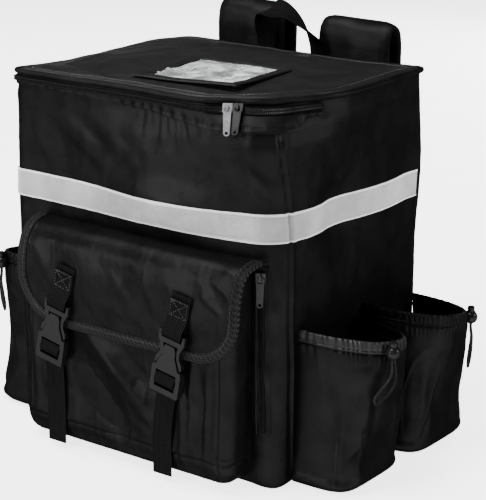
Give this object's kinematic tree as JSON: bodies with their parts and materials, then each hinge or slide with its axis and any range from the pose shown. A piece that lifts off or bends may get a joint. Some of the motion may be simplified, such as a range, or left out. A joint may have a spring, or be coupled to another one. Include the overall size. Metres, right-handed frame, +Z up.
{
  "type": "insulated delivery backpack",
  "caption": "Soft box-shaped insulated backpack with a zipped lid and clear window, a clipped flap pocket, cup pockets on its sides, a reflective band, a carry handle and shoulder straps.",
  "frame": {"origin": "on the floor, under the middle of the padded box", "axes": "+Z up, -Y towards the front with the flap pocket, +X to the right of someone facing the front"},
  "size_m": [0.5255, 0.3728, 0.4589],
  "materials": {
    "black_cloth": "coated nylon cloth, faint sheen",
    "lid_cloth": "coated nylon cloth, faint sheen",
    "webbing": "woven webbing",
    "cord": "braided elastic cord",
    "reflective_cloth": "grey retroreflective tape with brighter edges",
    "clear_film": "clear soft film, a little milky and creased",
    "black_plastic": "moulded, satin",
    "bright_metal": "nickel plated"
  },
  "bodies": {
    "bag": {"body_shell": "black_cloth", "lid_panel": "lid_cloth", "lid_piping": "black_cloth", "window_frame": "black_cloth", "window_film": "clear_film", "zip_tape": "black_cloth", "zip_teeth": "black_plastic", "zip_left_slider": "bright_metal", "zip_right_slider": "black_plastic", "side_zip_tape": "black_cloth", "side_zip_teeth": "black_plastic", "side_zip_slider": "bright_metal", "reflective_band": "reflective_cloth", "front_pocket": "black_cloth", "front_flap": "black_cloth", "flap_binding": "black_cloth", "flap_strap_left": "webbing", "clip_plug_left": "black_plastic", "clip_socket_left": "black_plastic", "pocket_strap_left": "webbing", "flap_strap_right": "webbing", "clip_plug_right": "black_plastic", "clip_socket_right": "black_plastic", "pocket_strap_right": "webbing", "cup_pocket_right_front": "black_cloth", "cup_pocket_right_rear": "black_cloth", "cup_pocket_left_front": "black_cloth", "cup_pocket_left_rear": "black_cloth", "cord_lock_right_front": "black_plastic", "draw_cord_right_front": "cord", "cord_lock_right_rear": "black_plastic", "draw_cord_right_rear": "cord", "cord_lock_left_front": "black_plastic", "draw_cord_left_front": "cord", "cord_lock_left_rear": "black_plastic", "draw_cord_left_rear": "cord", "carry_handle": "webbing", "shoulder_strap_left": "black_cloth", "strap_adjuster_left": "black_plastic", "lower_strap_left": "webbing", "shoulder_strap_right": "black_cloth", "strap_adjuster_right": "black_plastic", "lower_strap_right": "webbing"},
    "zip_left_pull_body": {"zip_left_pull": "bright_metal"},
    "zip_right_pull_body": {"zip_right_pull": "black_plastic"},
    "side_zip_pull_body": {"side_zip_pull": "bright_metal"},
    "lock_button_right_front_body": {"lock_button_right_front": "black_plastic"},
    "lock_button_right_rear_body": {"lock_button_right_rear": "black_plastic"},
    "lock_button_left_front_body": {"lock_button_left_front": "black_plastic"},
    "lock_button_left_rear_body": {"lock_button_left_rear": "black_plastic"}
  },
  "joints": [
    {"name": "zip_left_pull_hinge", "type": "hinge", "parent": "bag", "child": "zip_left_pull_body", "pos_m": [0.10381, -0.12403, 0.39836], "axis": [-0.8407, -0.5416, 0], "range_deg": [0, 110]},
    {"name": "zip_right_pull_hinge", "type": "hinge", "parent": "bag", "child": "zip_right_pull_body", "pos_m": [0.11236, -0.11825, 0.39865], "axis": [-0.8964, -0.4433, 0], "range_deg": [0, 110]},
    {"name": "side_zip_pull_hinge", "type": "hinge", "parent": "bag", "child": "side_zip_pull_body", "pos_m": [0.15456, -0.13595, 0.23091], "axis": [-0.8946, -0.4469, 0], "range_deg": [0, 110]},
    {"name": "lock_button_right_front_slide", "type": "slide", "parent": "bag", "child": "lock_button_right_front_body", "axis": [0, 0, 1], "range_m": [-0.004, 0], "stiffness_N_per_m": 1200, "springref_m": 0.0006},
    {"name": "lock_button_right_rear_slide", "type": "slide", "parent": "bag", "child": "lock_button_right_rear_body", "axis": [0, 0, 1], "range_m": [-0.004, 0], "stiffness_N_per_m": 1200, "springref_m": 0.0006},
    {"name": "lock_button_left_front_slide", "type": "slide", "parent": "bag", "child": "lock_button_left_front_body", "axis": [0, 0, 1], "range_m": [-0.004, 0], "stiffness_N_per_m": 1200, "springref_m": 0.0006},
    {"name": "lock_button_left_rear_slide", "type": "slide", "parent": "bag", "child": "lock_button_left_rear_body", "axis": [0, 0, 1], "range_m": [-0.004, 0], "stiffness_N_per_m": 1200, "springref_m": 0.0006}
  ]
}
